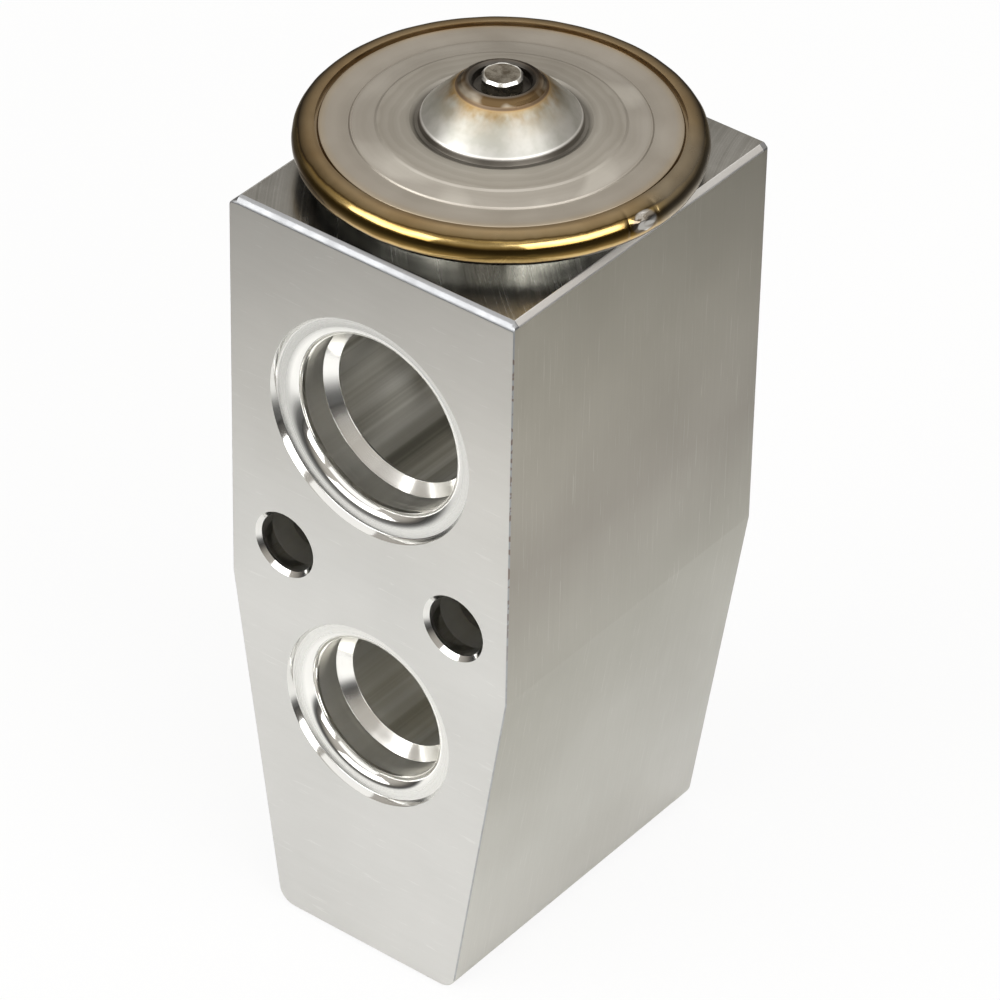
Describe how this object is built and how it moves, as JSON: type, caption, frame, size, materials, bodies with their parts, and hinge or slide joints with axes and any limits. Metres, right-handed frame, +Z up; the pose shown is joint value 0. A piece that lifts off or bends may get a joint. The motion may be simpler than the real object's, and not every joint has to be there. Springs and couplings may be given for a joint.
{
  "type": "thermostatic expansion valve",
  "caption": "Block-type thermostatic expansion valve: machined aluminium block with stepped refrigerant ports and bolt holes under a welded diaphragm head.",
  "frame": {"origin": "on the rod's axis, at the block's bottom face", "axes": "+Z up along the rod's axis to the diaphragm head, -Y out of the evaporator face, +X along the bolt pitch"},
  "size_m": [0.0406, 0.0406, 0.097],
  "materials": {
    "block_metal": "satin machined aluminium",
    "cover_steel": "pressed stainless sheet, satin",
    "weld_steel": "heat-tinted weld, glossy",
    "plug_steel": "bright",
    "neck_steel": "turned",
    "seal_rubber": "matt",
    "thin_steel": "smooth",
    "stop_steel": "smooth",
    "rod_metal": "drawn, smooth",
    "pin_steel": "ground",
    "ball_steel": "polished",
    "carrier_brass": "turned",
    "spring_steel": "drawn wire",
    "screw_metal": "turned"
  },
  "bodies": {
    "block": {"valve_body": "block_metal", "upper_cover": "cover_steel", "charge_plug": "plug_steel", "rim_weld_bead": "weld_steel", "lower_cover": "cover_steel", "mounting_neck": "neck_steel", "head_seal": "seal_rubber", "diaphragm": "thin_steel", "rod_seal": "seal_rubber", "seal_retainer": "thin_steel", "valve_spring": "spring_steel"},
    "rod_group": {"sensing_rod": "rod_metal", "stop_disc": "stop_steel", "push_rod": "pin_steel", "valve_ball": "ball_steel", "ball_carrier": "carrier_brass", "damping_spring": "thin_steel"},
    "screw": {"adjusting_screw": "screw_metal", "adjusting_screw_seal": "seal_rubber"}
  },
  "joints": [
    {"name": "rod_travel", "type": "slide", "parent": "block", "child": "rod_group", "axis": [0, 0, -1], "range_m": [0, 0.0008], "stiffness_N_per_m": 800, "springref_m": -0.002, "deforming": ["valve_spring"]},
    {"name": "superheat_adjust", "type": "hinge", "parent": "block", "child": "screw", "pos_m": [0, 0, 0.005], "axis": [0, 0, 1], "range_deg": [-180, 180]}
  ]
}
